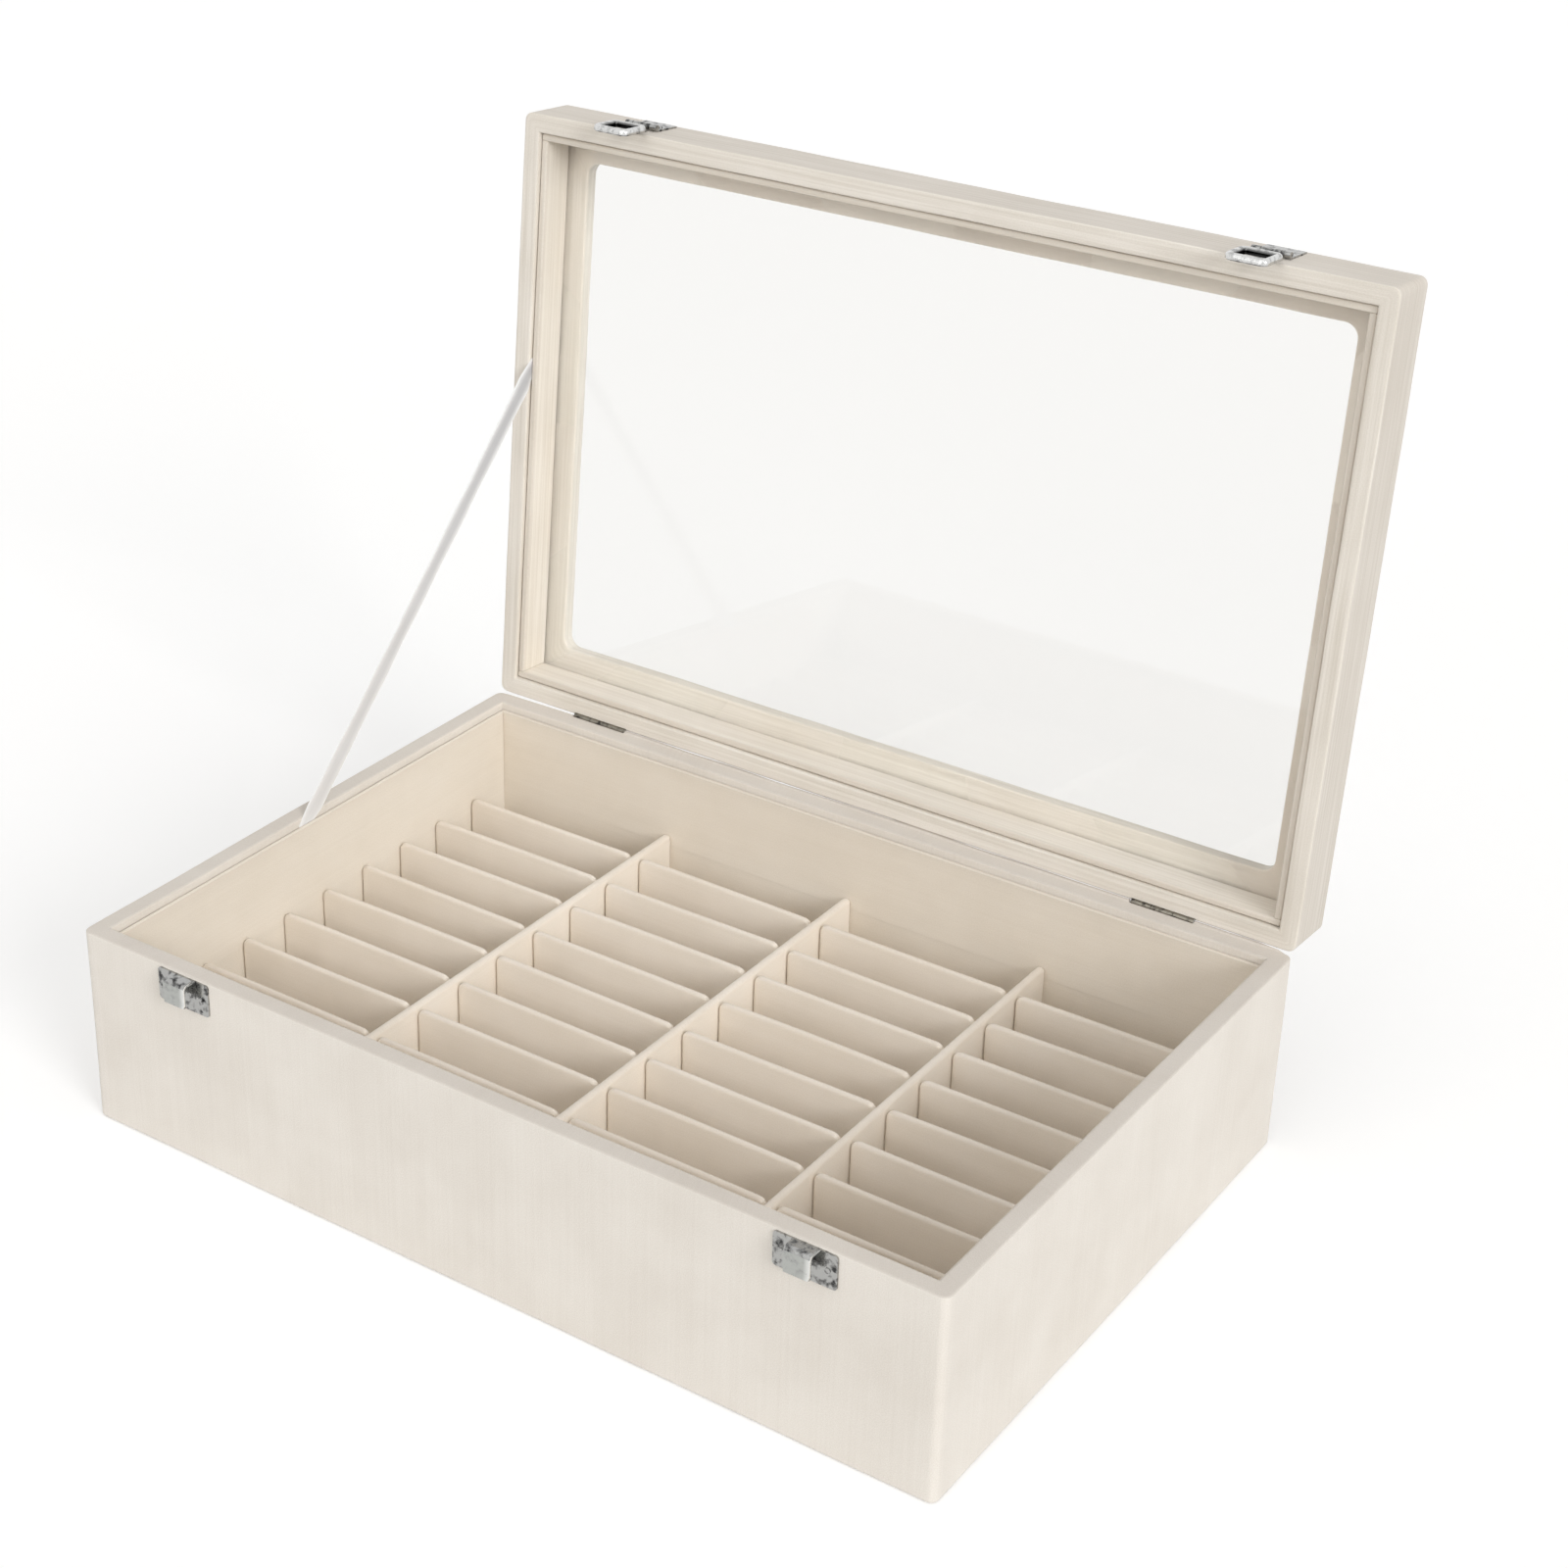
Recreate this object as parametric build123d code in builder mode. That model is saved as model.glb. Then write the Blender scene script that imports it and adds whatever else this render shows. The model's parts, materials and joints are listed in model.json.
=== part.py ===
"""Bracelet organiser box: cloth-wrapped board box with a hinged glass lid, shown with the lid open."""
import os
from math import cos, radians, sin
from build123d import *

os.makedirs("parts", exist_ok=True)

# overall sizes, millimetres; x is the width, y the depth (front is -y), z up from the table
box_w = 350.0
box_d = 236.0
box_h = 77.5
lid_t = 23.5
open_angle = 95.0
rim_gap = 0.3

# wrapped walls: board with cloth on both faces
cloth = 0.8
wall = 7.0
corner_r = 3.0
rim_r = 0.7
turn_in = 14.0
turn_under = 16.0
bottom_t = 4.0
pad_t = 1.4
liner_t = 2.0
liner_drop = 3.0
fit_gap = 0.2

# dividers and slats
divider_t = 3.0
divider_down = 32.5
slat_t = 2.4
slat_down = 33.0
slat_count = 9
slat_back_gap = 22.0
slat_front_gap = 16.4
slat_side_gap = 0.5
slat_corner_r = 3.0
slat_slot_gap = 0.1

# lid
window_side = 18.4
window_end = 18.6
window_r = 4.0
window_board_t = 4.2
glass_t = 2.0
glass_gap = 0.4
lid_liner_t = 3.0
lid_liner_drop = 1.5
lid_turn_in = 9.0

# hinges
hinge_in = 50.5
hinge_w = 24.5
hinge_pin_r = 0.55
hinge_run = 0.05
barrel_r = 1.1
knuckle_room = 0.25
leaf_t = 0.8
leaf_start = 0.7
leaf_h = 10.0
knuckle_gap = 0.3
lid_knuckle_w = 8.3

# latches
latch_in = 48.5
hasp_plate_w = 14.0
hasp_plate_h = 11.0
hasp_pivot_up = 8.0
hasp_pivot_out = 1.55
hasp_barrel_r = 1.15
hasp_pin_r = 0.5
hasp_t = 0.9
hasp_bar = 1.9
hasp_window_w = 10.6
hasp_window_top = 0.8
hasp_window_bottom = 10.8
hasp_knuckle_w = 7.0
catch_w = 23.0
catch_h = 12.5
catch_t = 0.7
catch_drop = 1.0
tongue_w = 9.2
tongue_out = 5.4
tongue_t = 0.8
tongue_drop = 10.0

# nails
nail_r = 0.45
nail_head_r = 0.95
nail_head_h = 0.35
nail_len = 4.0
hinge_nail_x = 8.5
hinge_nail_z = 6.2
hasp_nail_x = 4.3
hasp_nail_up = 5.6
catch_nail_x = 8.2

# stay ribbon
ribbon_t = 0.4
ribbon_w = 11.5
ribbon_base_y = -8.5
ribbon_lid_y = -18.5
ribbon_tuck = 12.0
ribbon_side_gap = 0.4

# derived places
x_out, y_out = box_w / 2, box_d / 2
x_in, y_in = x_out - wall, y_out - wall
x_room, y_room = x_in - liner_t, y_in - liner_t
board_t = wall - 2 * cloth
floor_z = cloth + bottom_t
divider_top = box_h - divider_down
slat_top = box_h - slat_down
col_w = (2 * x_room - 3 * divider_t) / 4
divider_xs = [(k - 1) * (col_w + divider_t) for k in range(3)]
column_xs = [(k - 1.5) * (col_w + divider_t) for k in range(4)]
slat_pitch = (2 * y_room - slat_back_gap - slat_front_gap) / (slat_count - 1)
slat_ys = [y_room - slat_back_gap - k * slat_pitch for k in range(slat_count)]
hinge_x = x_out - hinge_in
latch_x = x_out - latch_in
hinge_y = y_out + leaf_t / 2
hinge_z = box_h + rim_gap / 2
hinge_axis = Axis((0, hinge_y, hinge_z), (1, 0, 0))
lid_z0 = box_h + rim_gap
lid_z1 = lid_z0 + lid_t
window_w = box_w - 2 * window_side
window_d = box_d - 2 * window_end
under_z = lid_z1 - cloth - window_board_t
pane_z = under_z - cloth - glass_t
nail_z = box_h - hinge_nail_z
catch_z = box_h - catch_drop - catch_h / 2
hasp_pivot_z = lid_z0 + hasp_pivot_up
hasp_nail_z = hasp_pivot_z + hasp_nail_up
hinge_nail_xs = [s * hinge_x + k * hinge_nail_x for s in (-1, 1) for k in (-1, 1)]
hasp_nail_xs = [s * latch_x + k * hasp_nail_x for s in (-1, 1) for k in (-1, 1)]
catch_nail_xs = [s * latch_x + k * catch_nail_x for s in (-1, 1) for k in (-1, 1)]


def save(piece, name):
    """Label one piece and write its file."""
    piece.label = name
    export_step(piece, f"parts/{name}.step")


def opened(piece):
    """Swing a piece drawn with the lid shut to the open lid of the rest pose."""
    return piece.rotate(hinge_axis, -open_angle)


def block(x0, x1, y0, y1, z0, z1, mode=Mode.ADD):
    """One box from its two corners."""
    with Locations(((x0 + x1) / 2, (y0 + y1) / 2, (z0 + z1) / 2)):
        Box(abs(x1 - x0), abs(y1 - y0), abs(z1 - z0), mode=mode)


def slab(w, d, r, z0, z1, mode=Mode.ADD):
    """A flat block with rounded upright corners, centred on the box."""
    with BuildSketch(Plane.XY.offset(z0)) as flat:
        if r > 0:
            RectangleRounded(w, d, r)
        else:
            Rectangle(w, d)
    extrude(flat.sketch, amount=z1 - z0, mode=mode)


def rod(x0, x1, y, z, r, mode=Mode.ADD):
    """A round bar along x."""
    with Locations(Location(((x0 + x1) / 2, y, z), (0, 90, 0))):
        Cylinder(r, abs(x1 - x0), mode=mode)


def knuckle_notches():
    """The cloth pressed away round the two hinge barrels."""
    for s in (-1, 1):
        x_a, x_b = s * hinge_x - hinge_w / 2 - knuckle_gap, s * hinge_x + hinge_w / 2 + knuckle_gap
        rod(x_a, x_b, hinge_y, hinge_z, barrel_r + knuckle_room, Mode.SUBTRACT)


def nail_holes(xs, y_face, z, inward, reach):
    """Round holes along y, from the outer face inward."""
    for x in xs:
        with Locations(Location((x, y_face + inward * reach / 2, z), (90, 0, 0))):
            Cylinder(nail_r, reach, mode=Mode.SUBTRACT)


# base: wrapped cloth cover
with BuildPart() as base_cloth_cover:
    slab(box_w, box_d, corner_r, 0, box_h)
    slab(box_w - 2 * cloth, box_d - 2 * cloth, corner_r - cloth, cloth, box_h - cloth, Mode.SUBTRACT)
    slab(box_w - 2 * turn_under, box_d - 2 * turn_under, 0, 0, cloth, Mode.SUBTRACT)
    slab(2 * x_in, 2 * y_in, 0, box_h - cloth, box_h, Mode.SUBTRACT)
    slab(2 * x_in + 2 * cloth, 2 * y_in + 2 * cloth, 0, box_h - cloth - turn_in, box_h - cloth)
    slab(2 * x_in, 2 * y_in, 0, box_h - cloth - turn_in, box_h - cloth, Mode.SUBTRACT)
    top = base_cloth_cover.faces().sort_by(Axis.Z)[-1]
    fillet(top.edges(), rim_r)
    nail_holes(hinge_nail_xs, y_out, nail_z, -1, cloth)
    nail_holes(catch_nail_xs, -y_out, catch_z, 1, cloth)
    knuckle_notches()
save(base_cloth_cover.part, "base_cloth_cover")

# base: sheet glued under the bottom
with BuildPart() as base_underside_sheet:
    slab(box_w - 2 * turn_under, box_d - 2 * turn_under, 0, 0, cloth)
save(base_underside_sheet.part, "base_underside_sheet")

# base: four wall boards and the bottom board
for name, side in (("base_board_front", -1), ("base_board_back", 1)):
    with BuildPart() as long_board:
        y_a, y_b = side * (y_out - cloth), side * (y_in + cloth)
        block(-x_out + cloth, x_out - cloth, y_a, y_b, cloth, box_h - cloth)
        outer = long_board.edges().filter_by(Axis.Z).group_by(SortBy.DISTANCE)[-1]
        fillet(outer, corner_r - cloth)
        if side < 0:
            nail_holes(catch_nail_xs, -y_out, catch_z, 1, nail_len)
        else:
            nail_holes(hinge_nail_xs, y_out, nail_z, -1, nail_len)
    save(long_board.part, name)
for name, side in (("base_board_left", -1), ("base_board_right", 1)):
    with BuildPart() as short_board:
        x_a, x_b = side * (x_out - cloth), side * (x_in + cloth)
        block(x_a, x_b, -y_in - cloth, y_in + cloth, cloth, box_h - cloth)
    save(short_board.part, name)
with BuildPart() as base_bottom_board:
    block(-x_in - cloth, x_in + cloth, -y_in - cloth, y_in + cloth, cloth, floor_z)
save(base_bottom_board.part, "base_bottom_board")

# base: four liner panels standing on the bottom board
liner_top = box_h - liner_drop
for name, side in (("liner_front", -1), ("liner_back", 1)):
    with BuildPart() as liner_long:
        block(-x_in, x_in, side * y_room, side * y_in, floor_z, liner_top)
    save(liner_long.part, name)
for name, side in (("liner_left", -1), ("liner_right", 1)):
    with BuildPart() as liner_short:
        block(side * x_room, side * x_in, -y_room, y_room, floor_z, liner_top)
        if side < 0:
            y_a = ribbon_base_y - ribbon_w / 2 - ribbon_side_gap
            y_b = ribbon_base_y + ribbon_w / 2 + ribbon_side_gap
            block(-x_in, -x_in + ribbon_t, y_a, y_b, liner_top - ribbon_tuck, liner_top, Mode.SUBTRACT)
    save(liner_short.part, name)

# base: three long dividers and four floor pads with slots for the slats
for name, x in zip(("long_divider_left", "long_divider_middle", "long_divider_right"), divider_xs):
    with BuildPart() as long_divider:
        length = 2 * (y_room - fit_gap)
        block(x - divider_t / 2, x + divider_t / 2, -length / 2, length / 2, floor_z, divider_top)
        crest = long_divider.faces().sort_by(Axis.Z)[-1].edges().filter_by(Axis.Y)
        fillet(crest, divider_t * 0.4)
    save(long_divider.part, name)
slat_w = col_w - 2 * slat_side_gap
for k, x in enumerate(column_xs):
    with BuildPart() as floor_pad:
        block(x - col_w / 2, x + col_w / 2, -y_room, y_room, floor_z, floor_z + pad_t)
        for y in slat_ys:
            w2, t2 = slat_w / 2 + slat_slot_gap, slat_t / 2 + slat_slot_gap
            block(x - w2, x + w2, y - t2, y + t2, floor_z, floor_z + pad_t, Mode.SUBTRACT)
    save(floor_pad.part, f"floor_pad_{k + 1}")

# base: the slats of each column, one solid each
with BuildPart() as slat:
    block(-slat_w / 2, slat_w / 2, -slat_t / 2, slat_t / 2, floor_z, slat_top)
    upper = slat.edges().filter_by(Axis.Y).group_by(Axis.Z)[-1]
    fillet(upper, slat_corner_r)
    crest = slat.edges().filter_by(Axis.X).group_by(Axis.Z)[-1]
    chamfer(crest, slat_t * 0.2)
for k, x in enumerate(column_xs):
    with BuildPart() as slats_column:
        for y in slat_ys:
            with Locations((x, y, 0)):
                add(slat.part)
    save(slats_column.part, f"slats_column_{k + 1}")

# lid: wrapped cloth cover with the window edge turned in
with BuildPart() as lid_cloth_cover:
    slab(box_w, box_d, corner_r, lid_z0, lid_z1)
    slab(box_w - 2 * cloth, box_d - 2 * cloth, corner_r - cloth, lid_z0 + cloth, lid_z1 - cloth, Mode.SUBTRACT)
    slab(2 * x_in, 2 * y_in, 0, lid_z0, lid_z0 + cloth, Mode.SUBTRACT)
    slab(2 * x_in + 2 * cloth, 2 * y_in + 2 * cloth, 0, lid_z0 + cloth, lid_z0 + cloth + lid_turn_in)
    slab(2 * x_in, 2 * y_in, 0, lid_z0 + cloth, lid_z0 + cloth + lid_turn_in, Mode.SUBTRACT)
    slab(window_w + 2 * cloth, window_d + 2 * cloth, window_r + cloth, under_z, lid_z1 - cloth)
    slab(2 * x_in, 2 * y_in, 0, under_z - cloth, under_z)
    slab(window_w, window_d, window_r, under_z - cloth, lid_z1, Mode.SUBTRACT)
    rim = lid_cloth_cover.faces().sort_by(Axis.Z)[0]
    crown = lid_cloth_cover.faces().sort_by(Axis.Z)[-1]
    fillet(rim.edges() + crown.edges(), rim_r)
    nail_holes(hinge_nail_xs, y_out, lid_z0 + box_h - nail_z, -1, cloth)
    nail_holes(hasp_nail_xs, -y_out, hasp_nail_z, 1, cloth)
    knuckle_notches()
save(opened(lid_cloth_cover.part), "lid_cloth_cover")

# lid: four side boards and the window board
for name, side in (("lid_board_front", -1), ("lid_board_back", 1)):
    with BuildPart() as lid_long:
        y_a, y_b = side * (y_out - cloth), side * (y_in + cloth)
        block(-x_out + cloth, x_out - cloth, y_a, y_b, lid_z0 + cloth, under_z)
        outer = lid_long.edges().filter_by(Axis.Z).group_by(SortBy.DISTANCE)[-1]
        fillet(outer, corner_r - cloth)
        if side < 0:
            nail_holes(hasp_nail_xs, -y_out, hasp_nail_z, 1, nail_len)
        else:
            nail_holes(hinge_nail_xs, y_out, lid_z0 + box_h - nail_z, -1, nail_len)
    save(opened(lid_long.part), name)
for name, side in (("lid_board_left", -1), ("lid_board_right", 1)):
    with BuildPart() as lid_short:
        x_a, x_b = side * (x_out - cloth), side * (x_in + cloth)
        block(x_a, x_b, -y_in - cloth, y_in + cloth, lid_z0 + cloth, under_z)
    save(opened(lid_short.part), name)
with BuildPart() as lid_window_board:
    slab(box_w - 2 * cloth, box_d - 2 * cloth, corner_r - cloth, under_z, lid_z1 - cloth)
    slab(window_w + 2 * cloth, window_d + 2 * cloth, window_r + cloth, under_z, lid_z1 - cloth, Mode.SUBTRACT)
save(opened(lid_window_board.part), "lid_window_board")

# lid: glass pane behind the window board
with BuildPart() as glass_pane:
    slab(2 * (x_in - glass_gap), 2 * (y_in - glass_gap), 0, pane_z, pane_z + glass_t)
save(opened(glass_pane.part), "glass_pane")

# lid: four liner strips that hold the glass
strip_z0 = lid_z0 + lid_liner_drop
for name, side in (("lid_liner_front", -1), ("lid_liner_back", 1)):
    with BuildPart() as strip_long:
        block(-x_in, x_in, side * (y_in - lid_liner_t), side * y_in, strip_z0, pane_z)
    save(opened(strip_long.part), name)
for name, side in (("lid_liner_left", -1), ("lid_liner_right", 1)):
    with BuildPart() as strip_short:
        y_s = y_in - lid_liner_t
        block(side * (x_in - lid_liner_t), side * x_in, -y_s, y_s, strip_z0, pane_z)
        if side < 0:
            y_a = ribbon_lid_y - ribbon_w / 2 - ribbon_side_gap
            y_b = ribbon_lid_y + ribbon_w / 2 + ribbon_side_gap
            block(-x_in, -x_in + ribbon_t, y_a, y_b, strip_z0, strip_z0 + ribbon_tuck, Mode.SUBTRACT)
    save(opened(strip_short.part), name)


def swung(y, z):
    """A point of the shut lid as (y, z) on the open lid."""
    dy, dz = y - hinge_y, z - hinge_z
    turn = radians(open_angle)
    return (hinge_y + dy * cos(turn) + dz * sin(turn), hinge_z - dy * sin(turn) + dz * cos(turn))


# stay ribbon between the left walls, straight while the lid is open
half = ribbon_w / 2
base_a, base_b = ribbon_base_y - half, ribbon_base_y + half
lid_a, lid_b = ribbon_lid_y - half, ribbon_lid_y + half
tuck_z = strip_z0 + ribbon_tuck - 0.5
outline = [(base_a, liner_top - ribbon_tuck + 0.5), (base_b, liner_top - ribbon_tuck + 0.5), (base_b, liner_top),
           swung(lid_b, strip_z0), swung(lid_b, tuck_z), swung(lid_a, tuck_z), swung(lid_a, strip_z0),
           (base_a, liner_top)]
with BuildPart() as stay_ribbon:
    with BuildSketch(Plane.YZ.offset(-x_in)):
        with BuildLine():
            Polyline(*outline, close=True)
        make_face()
    extrude(amount=ribbon_t)
save(stay_ribbon.part, "stay_ribbon")


def hinge_half(x, lid_side):
    """One hinge leaf with its knuckles, on the outside of the back wall."""
    side = 1 if lid_side else -1
    with BuildPart() as leaf:
        near = hinge_z + side * leaf_start
        block(x - hinge_w / 2, x + hinge_w / 2, y_out, y_out + leaf_t, near, hinge_z + side * leaf_h)
        if lid_side:
            rod(x - lid_knuckle_w / 2, x + lid_knuckle_w / 2, hinge_y, hinge_z, barrel_r)
            for s in (-1, 1):
                x_a, x_b = lid_knuckle_w / 2, hinge_w / 2 + 0.1
                block(x + s * x_a, x + s * x_b, y_out, y_out + leaf_t, near, near + 1.6, Mode.SUBTRACT)
        else:
            x_a, x_b = lid_knuckle_w / 2 + knuckle_gap, hinge_w / 2
            for s in (-1, 1):
                rod(x + s * x_a, x + s * x_b, hinge_y, hinge_z, barrel_r)
            block(x - x_a, x + x_a, y_out, y_out + leaf_t, near, near - 1.6, Mode.SUBTRACT)
        hole_r = hinge_pin_r + (hinge_run if lid_side else 0)
        rod(x - hinge_w, x + hinge_w, hinge_y, hinge_z, hole_r, Mode.SUBTRACT)
        z = lid_z0 + box_h - nail_z if lid_side else nail_z
        nail_holes([x - hinge_nail_x, x + hinge_nail_x], y_out + leaf_t, z, -1, leaf_t)
    return leaf.part


# hinges: base leaf, lid leaf and pin on each side
for tag, s in (("left", -1), ("right", 1)):
    x = s * hinge_x
    save(hinge_half(x, False), f"hinge_base_leaf_{tag}")
    save(opened(hinge_half(x, True)), f"hinge_lid_leaf_{tag}")
    with BuildPart() as hinge_pin:
        rod(x - hinge_w / 2, x + hinge_w / 2, hinge_y, hinge_z, hinge_pin_r)
    save(hinge_pin.part, f"hinge_pin_{tag}")


def nails(xs, y_face, z, inward, plate_t):
    """Round-headed nails along y through a plate into a board."""
    with BuildPart() as pins:
        for x in xs:
            y_head = y_face - inward * plate_t
            reach = nail_len + plate_t
            with Locations(Location((x, y_head + inward * reach / 2, z), (90, 0, 0))):
                Cylinder(nail_r, reach)
            with Locations(Location((x, y_head - inward * nail_head_h / 2, z), (90, 0, 0))):
                Cylinder(nail_head_r, nail_head_h)
    return pins.part


save(nails(hinge_nail_xs, y_out, nail_z, -1, leaf_t), "hinge_nails_base")
save(opened(nails(hinge_nail_xs, y_out, lid_z0 + box_h - nail_z, -1, leaf_t)), "hinge_nails_lid")
save(opened(nails(hasp_nail_xs, -y_out, hasp_nail_z, 1, catch_t)), "hasp_nails")
save(nails(catch_nail_xs, -y_out, catch_z, 1, catch_t), "catch_nails")

# latches: plate, swinging ring and pin on the lid, sprung catch on the base
pivot_y = -y_out - hasp_pivot_out
for tag, s in (("left", -1), ("right", 1)):
    x = s * latch_x
    with BuildPart() as hasp_plate:
        z_a = hasp_pivot_z + hasp_barrel_r + 0.5
        block(x - hasp_plate_w / 2, x + hasp_plate_w / 2, -y_out - catch_t, -y_out, z_a, z_a + hasp_plate_h)
        for k in (-1, 1):
            x_a, x_b = x + k * (hasp_knuckle_w / 2 + knuckle_gap), x + k * hasp_plate_w / 2
            block(x_a, x_b, -y_out - catch_t, -y_out, hasp_pivot_z, z_a)
            rod(x_a, x_b, pivot_y, hasp_pivot_z, hasp_barrel_r)
        rod(x - hasp_plate_w, x + hasp_plate_w, pivot_y, hasp_pivot_z, hasp_pin_r, Mode.SUBTRACT)
        nail_holes([x - hasp_nail_x, x + hasp_nail_x], -y_out - catch_t, hasp_nail_z, 1, catch_t)
    save(opened(hasp_plate.part), f"hasp_plate_{tag}")

    with BuildPart() as hasp_ring:
        ring_w = hasp_window_w + 2 * hasp_bar
        ring_z0 = box_h - hasp_window_bottom - hasp_bar
        z_top = box_h - hasp_window_top
        block(x - ring_w / 2, x + ring_w / 2, pivot_y - hasp_t / 2, pivot_y + hasp_t / 2, ring_z0, z_top + hasp_bar)
        block(x - hasp_knuckle_w / 2, x + hasp_knuckle_w / 2, pivot_y - hasp_t / 2, pivot_y + hasp_t / 2,
              z_top, hasp_pivot_z)
        corners = hasp_ring.edges().filter_by(Axis.Y).group_by(Axis.Z)[0]
        fillet(corners, 2.4)
        block(x - hasp_window_w / 2, x + hasp_window_w / 2, pivot_y - hasp_t, pivot_y + hasp_t,
              ring_z0 + hasp_bar, z_top, Mode.SUBTRACT)
        rod(x - hasp_knuckle_w / 2, x + hasp_knuckle_w / 2, pivot_y, hasp_pivot_z, hasp_barrel_r)
        rod(x - ring_w, x + ring_w, pivot_y, hasp_pivot_z, hasp_pin_r + hinge_run, Mode.SUBTRACT)
    save(opened(hasp_ring.part), f"hasp_ring_{tag}")

    with BuildPart() as hasp_pin:
        rod(x - hasp_plate_w / 2, x + hasp_plate_w / 2, pivot_y, hasp_pivot_z, hasp_pin_r)
    save(opened(hasp_pin.part), f"hasp_pin_{tag}")

    with BuildPart() as catch:
        z_top = box_h - catch_drop
        block(x - catch_w / 2, x + catch_w / 2, -y_out - catch_t, -y_out, z_top - catch_h, z_top)
        corners = catch.edges().filter_by(Axis.Y)
        fillet(corners, 1.2)
        y_far = -y_out - tongue_out
        block(x - tongue_w / 2, x + tongue_w / 2, y_far, -y_out - catch_t, z_top - tongue_t, z_top)
        block(x - tongue_w / 2, x + tongue_w / 2, y_far, y_far + tongue_t, box_h - tongue_drop, z_top)
        bend = catch.edges().filter_by(Axis.X).filter_by(lambda e: e.center().Y < y_far + 0.01)
        fillet(bend.group_by(Axis.Z)[-1], 1.6)
        nail_holes([x - catch_nail_x, x + catch_nail_x], -y_out - catch_t, catch_z, 1, catch_t)
    save(catch.part, f"catch_{tag}")
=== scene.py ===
"""Bracelet organizer box with its glass lid open: cloth, card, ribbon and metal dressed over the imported
frame."""
import json
from math import radians

import bmesh
import bpy
import numpy as np
from mathutils import Matrix, Vector


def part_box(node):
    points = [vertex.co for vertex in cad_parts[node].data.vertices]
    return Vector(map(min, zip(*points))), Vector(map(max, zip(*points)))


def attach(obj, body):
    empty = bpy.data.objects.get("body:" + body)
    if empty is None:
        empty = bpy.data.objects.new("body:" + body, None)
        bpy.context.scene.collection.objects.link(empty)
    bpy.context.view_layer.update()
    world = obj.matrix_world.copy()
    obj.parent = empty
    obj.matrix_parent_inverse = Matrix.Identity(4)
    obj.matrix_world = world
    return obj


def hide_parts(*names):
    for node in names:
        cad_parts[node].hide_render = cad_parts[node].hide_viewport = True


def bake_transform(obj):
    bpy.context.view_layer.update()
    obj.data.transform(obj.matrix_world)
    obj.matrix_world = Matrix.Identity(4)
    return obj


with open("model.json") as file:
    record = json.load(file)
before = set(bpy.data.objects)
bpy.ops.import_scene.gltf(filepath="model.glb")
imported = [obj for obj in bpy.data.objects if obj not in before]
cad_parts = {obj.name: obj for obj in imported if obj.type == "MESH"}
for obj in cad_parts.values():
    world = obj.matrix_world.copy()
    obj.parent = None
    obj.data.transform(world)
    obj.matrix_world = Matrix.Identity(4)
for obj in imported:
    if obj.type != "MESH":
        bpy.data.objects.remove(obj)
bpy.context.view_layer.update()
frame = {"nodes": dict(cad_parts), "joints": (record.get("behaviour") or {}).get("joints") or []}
nodes = frame["nodes"]

# sizes of the box, in metres; the lid's heights are those of the shut lid
MM = 0.001
BOX_X, BOX_Y, BOX_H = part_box("base_cloth_cover")[1]
WALL = 7.0 * MM
CLOTH = 0.8 * MM
CORNER = 3.0 * MM
RIM = 0.7 * MM
IN_X, IN_Y = BOX_X - WALL, BOX_Y - WALL
LINER = 2.0 * MM
LINER_TOP = BOX_H - 3.0 * MM
ROOM_X, ROOM_Y = IN_X - LINER, IN_Y - LINER
FLOOR_Z = 4.8 * MM
LID_Z0 = BOX_H + 0.3 * MM
LID_Z1 = LID_Z0 + 23.5 * MM
WINDOW_X, WINDOW_Y, WINDOW_R = BOX_X - 18.4 * MM, BOX_Y - 18.6 * MM, 5.2 * MM
WINDOW_UNDER = LID_Z1 - 5.0 * MM
PANE_Z = WINDOW_UNDER - CLOTH - 2.0 * MM
STRIP_Z0 = LID_Z0 + 1.5 * MM
STRIP = 3.0 * MM
LID_JOINT = next(joint for joint in frame["joints"] if joint["name"] == "lid_hinge")
HINGE_Y, HINGE_Z = LID_JOINT["pos_m"][1:]
HINGE_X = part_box("hinge_pin_right")[0].x / 2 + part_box("hinge_pin_right")[1].x / 2
OPEN = radians(LID_JOINT["range_deg"][1])
LATCH_X = BOX_X - 48.5 * MM
RING_Y = -BOX_Y - 1.55 * MM


# ---------------------------------------------------------------- shapes

def opened(points):
    """Points of the shut lid on the open lid: a turn about the hinge line by the lid's whole range, towards
    the back."""
    y, z = points[..., 1] - HINGE_Y, points[..., 2] - HINGE_Z
    turned = points.copy()
    turned[..., 1] = HINGE_Y + y * np.cos(OPEN) + z * np.sin(OPEN)
    turned[..., 2] = HINGE_Z - y * np.sin(OPEN) + z * np.cos(OPEN)
    return turned


def ring_points(half_x, half_y, radius, side_steps, arc_steps=7, extra=()):
    """Rounded rectangles, one a level: four quarter circles of the level's radius round the corner centres,
    joined by straight sides; side points stand close to the arcs, evenly between and at the extra shares of
    a side. Each ring starts at the back left corner."""
    half_x, half_y, radius = (np.asarray(value, float)[:, None] for value in (half_x, half_y, radius))
    arc = np.linspace(0, np.pi / 2, arc_steps)[None, :]
    share = np.concatenate([[0.008], np.linspace(0.03, 0.97, side_steps), [0.992], extra])
    share = np.sort(share)[None, :]
    signs = [(-1, 1, 0.5), (-1, -1, 1.0), (1, -1, 1.5), (1, 1, 0.0)]
    arcs = [np.stack([sx * (half_x - radius) + radius * np.cos(arc + start * np.pi),
                      sy * (half_y - radius) + radius * np.sin(arc + start * np.pi)], -1)
            for sx, sy, start in signs]
    ring = []
    for k, here in enumerate(arcs):
        after = arcs[(k + 1) % 4]
        ring += [here, here[:, -1:] + (after[:, :1] - here[:, -1:]) * share[..., None]]
    return np.concatenate(ring, 1)


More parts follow.
